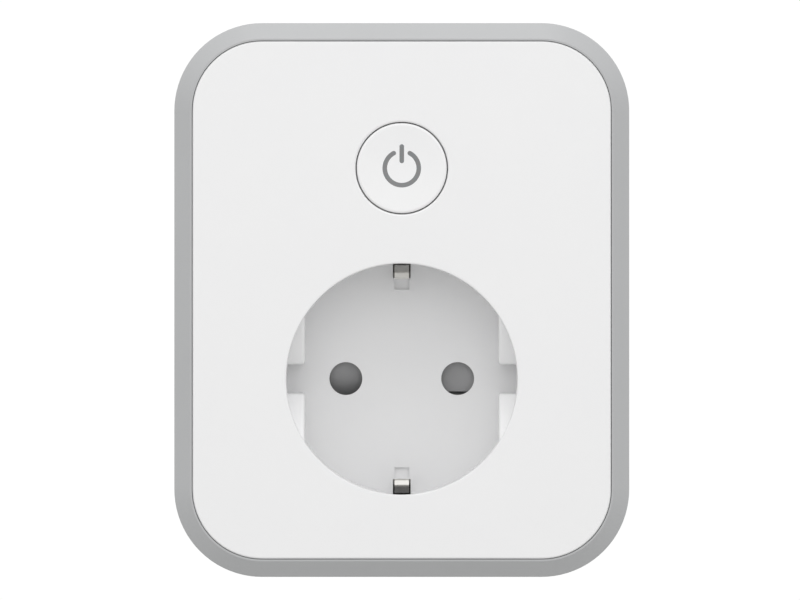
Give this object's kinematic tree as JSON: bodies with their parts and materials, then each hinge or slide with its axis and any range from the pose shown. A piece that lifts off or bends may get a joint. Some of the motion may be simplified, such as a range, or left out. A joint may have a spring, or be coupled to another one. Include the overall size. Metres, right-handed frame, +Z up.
{
  "type": "smart plug",
  "caption": "Upright rounded plug-in housing with a grey bevelled frame, a round power button above a recessed earthed outlet, and a two-pin plug at the back.",
  "frame": {"origin": "on the axis of the plug, midway between its pins, in the plane of the housing's back that lies against the wall", "axes": "+X to the right seen from the front, +Y back into the wall along the pins, +Z up"},
  "size_m": [0.0768, 0.072, 0.0935],
  "materials": {
    "white_abs": "fine satin moulding",
    "grey_abs": "satin moulding",
    "button_abs": "fine satin moulding",
    "symbol_grey": "translucent light guide",
    "dark_plastic": "matt",
    "shutter_plastic": "satin",
    "carrier_plastic": "matt phenolic",
    "spring_steel": "rolled sheet",
    "screw_steel": "zinc plated",
    "clip_metal": "nickel plated, bright",
    "pin_metal": "nickel plated, turned",
    "brass_sheet": "stamped and folded",
    "copper_sheet": "stamped copper",
    "board_green": "solder mask on glass laminate",
    "board_black": "black solder mask",
    "relay_blue": "moulded",
    "relay_iron": "plated soft iron",
    "winding_copper": "enamelled wire",
    "ferrite": "sintered",
    "winding_tape": "polyester tape",
    "can_sleeve": "shrink sleeve",
    "film_box": "moulded box",
    "varistor_blue": "epoxy dip",
    "fuse_glass": "tube with metal caps",
    "chip_black": "moulded packages",
    "led_white": "small lamp",
    "shield_tin": "tinned sheet"
  },
  "bodies": {
    "housing": {"front_cover": "white_abs", "trim_frame": "grey_abs", "rear_cover": "white_abs", "housing_screws": "screw_steel", "tact_switch": "dark_plastic", "control_board": "board_green", "status_led": "led_white", "control_board_screws": "screw_steel", "contact_carrier": "carrier_plastic", "live_contact": "brass_sheet", "live_load_bar": "copper_sheet", "live_input_bar": "copper_sheet", "live_pin": "pin_metal", "neutral_contact": "brass_sheet", "neutral_load_bar": "copper_sheet", "neutral_input_bar": "copper_sheet", "neutral_pin": "pin_metal", "shutter_spring": "spring_steel", "plug_earth_top": "clip_metal", "plug_earth_bottom": "clip_metal", "earth_bridge": "brass_sheet", "main_board": "board_green", "main_board_screws": "screw_steel", "relay_base": "relay_blue", "relay_case": "relay_blue", "relay_yoke": "relay_iron", "relay_coil": "winding_copper", "transformer_core": "ferrite", "transformer_winding": "winding_tape", "smoothing_capacitors": "can_sleeve", "film_capacitor": "film_box", "varistor": "varistor_blue", "fuse": "fuse_glass", "line_choke": "winding_copper", "board_chips": "chip_black", "radio_board": "board_black", "radio_shield": "shield_tin", "header_strip": "dark_plastic", "header_pins": "pin_metal"},
    "button": {"power_button": "button_abs", "button_symbol": "symbol_grey", "tact_plunger": "dark_plastic"},
    "shutter": {"shutter": "shutter_plastic"},
    "upper_clip": {"earth_clip_top": "clip_metal"},
    "lower_clip": {"earth_clip_bottom": "clip_metal"},
    "armature": {"relay_armature": "relay_iron"}
  },
  "joints": [
    {"name": "button_press", "type": "slide", "parent": "housing", "child": "button", "axis": [0, 1, 0], "range_m": [0, 0.0004], "stiffness_N_per_m": 2000, "springref_m": -0.0003},
    {"name": "shutter_turn", "type": "hinge", "parent": "housing", "child": "shutter", "pos_m": [0, -0.0148, 0], "axis": [0, -1, 0], "range_deg": [0, 42], "stiffness_Nm_per_rad": 0.004, "springref_deg": -5.73},
    {"name": "upper_clip_flex", "type": "hinge", "parent": "housing", "child": "upper_clip", "pos_m": [0, -0.0045, 0.0203], "axis": [-1, 0, 0], "range_deg": [0, 2], "stiffness_Nm_per_rad": 3, "springref_deg": -0.29},
    {"name": "lower_clip_flex", "type": "hinge", "parent": "housing", "child": "lower_clip", "pos_m": [0, -0.0045, -0.0203], "axis": [1, 0, 0], "range_deg": [0, 2], "stiffness_Nm_per_rad": 3, "springref_deg": -0.29},
    {"name": "armature_pull", "type": "hinge", "parent": "housing", "child": "armature", "pos_m": [-0.019, -0.01965, 0.0425], "axis": [1, 0, 0], "range_deg": [0, 2.5], "stiffness_Nm_per_rad": 0.05, "springref_deg": -2.86}
  ]
}
